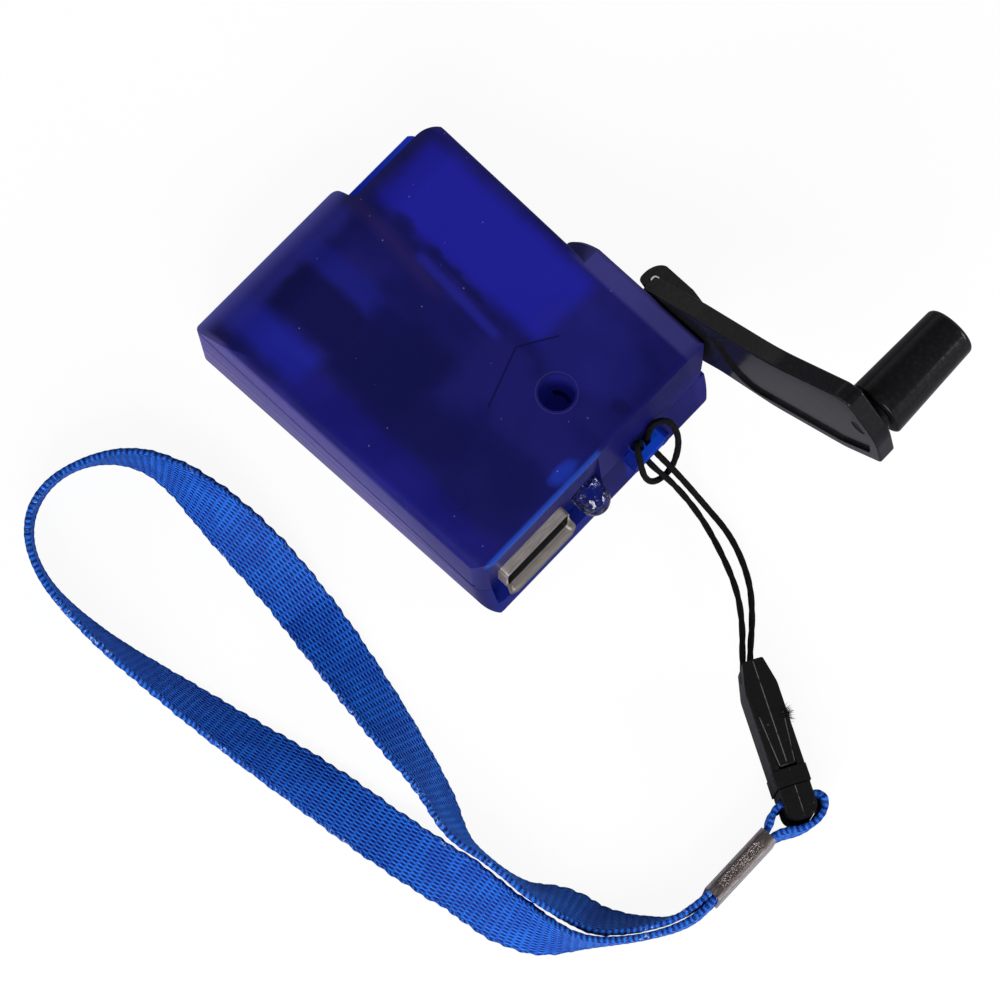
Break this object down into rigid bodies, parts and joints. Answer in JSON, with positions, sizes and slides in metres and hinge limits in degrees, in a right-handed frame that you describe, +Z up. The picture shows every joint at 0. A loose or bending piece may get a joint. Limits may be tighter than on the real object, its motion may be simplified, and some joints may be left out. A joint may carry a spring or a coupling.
{
  "type": "hand crank phone charger",
  "caption": "Pocket hand crank generator: translucent case, folding crank arm with turning knob, socket, lamp, and a clip-on woven wrist strap.",
  "frame": {"origin": "middle of the case's flat underside", "axes": "+Z up, +X towards the socket end, +Y towards the crank side"},
  "size_m": [0.1186, 0.1115, 0.0501],
  "materials": {
    "upper_shell": "translucent dark blue, satin",
    "lower_shell": "translucent dark blue, satin",
    "screw_steel": "zinc plated",
    "gear_white": "moulded acetal",
    "gear_plate": "moulded frame plate",
    "axle_steel": "bright steel",
    "generator_steel": "plated can",
    "copper": "enamelled copper winding",
    "magnet": "bonded magnet",
    "board": "solder mask",
    "component_black": "moulded package",
    "usb_metal": "nickel plated sheet",
    "usb_insulator": "moulded tongue",
    "contact_gold": "gold flash",
    "led_clear": "clear epoxy lens",
    "arm_black": "gloss black",
    "knob_black": "gloss black",
    "pin_chrome": "polished",
    "cord_black": "thin braided cord",
    "webbing_blue": "woven tubular webbing",
    "clip_black": "moulded clip",
    "crimp_nickel": "nickel plated sheet"
  },
  "bodies": {
    "case": {"upper_shell": "upper_shell", "lower_shell": "lower_shell", "case_screws": "screw_steel", "gear_plate_inner": "gear_plate", "gear_plate_outer": "gear_plate", "idler_axles": "axle_steel", "plate_spacers": "axle_steel", "generator_can": "generator_steel", "generator_end_cap": "generator_steel", "generator_coils": "copper", "circuit_board": "board", "capacitor": "component_black", "diodes": "component_black", "voltage_regulator": "component_black", "inductor": "component_black", "usb_shell": "usb_metal", "usb_insulator": "usb_insulator", "usb_contacts": "contact_gold", "led_lamp": "led_clear", "led_leads": "screw_steel", "lanyard_cord": "cord_black", "clip_socket": "clip_black"},
    "crank": {"crank_hub": "arm_black", "crank_shaft": "axle_steel", "hinge_pin": "pin_chrome", "crank_gear": "gear_white"},
    "arm": {"crank_arm": "arm_black", "knob_stem": "axle_steel"},
    "knob": {"knob_grip": "knob_black"},
    "idler_1": {"idler_gear_1": "gear_white"},
    "idler_2": {"idler_gear_2": "gear_white"},
    "rotor": {"generator_magnet": "magnet", "generator_shaft": "axle_steel", "generator_pinion": "gear_white"},
    "wrist_strap": {"clip_plug": "clip_black", "crimp_sleeve": "crimp_nickel", "strap_webbing": "webbing_blue"}
  },
  "joints": [
    {"name": "crank_spin", "type": "hinge", "parent": "case", "child": "crank", "pos_m": [0.0155, 0.026, 0.012], "axis": [0, 1, 0], "continuous": true},
    {"name": "arm_fold", "type": "hinge", "parent": "crank", "child": "arm", "pos_m": [0.01697, 0.0291, 0.01321], "axis": [-0.6361, 0, 0.7716], "range_deg": [0, 180]},
    {"name": "knob_spin", "type": "hinge", "parent": "arm", "child": "knob", "pos_m": [0.05392, 0.036, 0.0429], "axis": [0, 1, 0], "continuous": true},
    {"name": "idler_1_spin", "type": "hinge", "parent": "case", "child": "idler_1", "pos_m": [0.00425, 0.014, 0.012], "axis": [0, 1, 0], "continuous": true},
    {"name": "idler_2_spin", "type": "hinge", "parent": "case", "child": "idler_2", "pos_m": [-0.0055, 0.013, 0.012], "axis": [0, 1, 0], "continuous": true},
    {"name": "generator_spin", "type": "hinge", "parent": "case", "child": "rotor", "pos_m": [-0.01525, 0, 0.012], "axis": [0, 1, 0], "continuous": true},
    {"name": "clip_release", "type": "slide", "parent": "case", "child": "wrist_strap", "axis": [0.8729, -0.4879, 0], "range_m": [0, 0.012]}
  ],
  "couplings": [
    {"joint": "idler_1_spin", "follows": "crank_spin", "ratio": -4},
    {"joint": "idler_2_spin", "follows": "crank_spin", "ratio": 13.333},
    {"joint": "generator_spin", "follows": "crank_spin", "ratio": -44.444}
  ]
}
